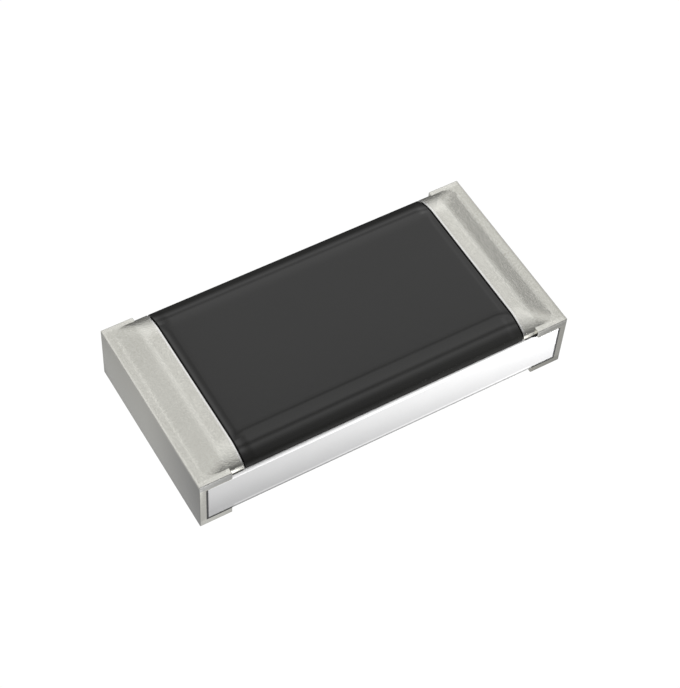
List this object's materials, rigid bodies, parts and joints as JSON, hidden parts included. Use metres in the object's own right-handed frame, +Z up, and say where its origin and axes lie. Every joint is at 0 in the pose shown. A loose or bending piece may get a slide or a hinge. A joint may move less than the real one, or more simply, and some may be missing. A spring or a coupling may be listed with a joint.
{
  "type": "smd chip resistor",
  "caption": "Flat rectangular surface-mount resistor: white ceramic plate, domed black overcoat and wrap-around tinned end caps that solder to a circuit board.",
  "frame": {"origin": "middle of the footprint on the mounting plane", "axes": "+X along the length from cap to cap, +Y across the width, +Z up from the solder side to the overcoat"},
  "size_m": [0.0032, 0.0016, 0.0006],
  "materials": {
    "alumina": "fired white alumina",
    "printed_electrode": "fired silver print",
    "resistive_cermet": "fired dark cermet",
    "undercoat_glass": "fired green glass",
    "black_overcoat": "semi-gloss black coat",
    "edge_electrode": "matt silver-filled wrap",
    "nickel": "matt electroplated nickel",
    "matt_tin": "matt electroplated tin"
  },
  "bodies": {
    "root": {"ceramic_substrate": "alumina", "top_electrode_left": "printed_electrode", "top_electrode_right": "printed_electrode", "bottom_electrode_left": "printed_electrode", "bottom_electrode_right": "printed_electrode", "resistive_film": "resistive_cermet", "glass_undercoat": "undercoat_glass", "overcoat": "black_overcoat", "edge_electrode_left": "edge_electrode", "edge_electrode_right": "edge_electrode", "nickel_barrier_left": "nickel", "nickel_barrier_right": "nickel", "tin_plating_left": "matt_tin", "tin_plating_right": "matt_tin"}
  },
  "joints": []
}
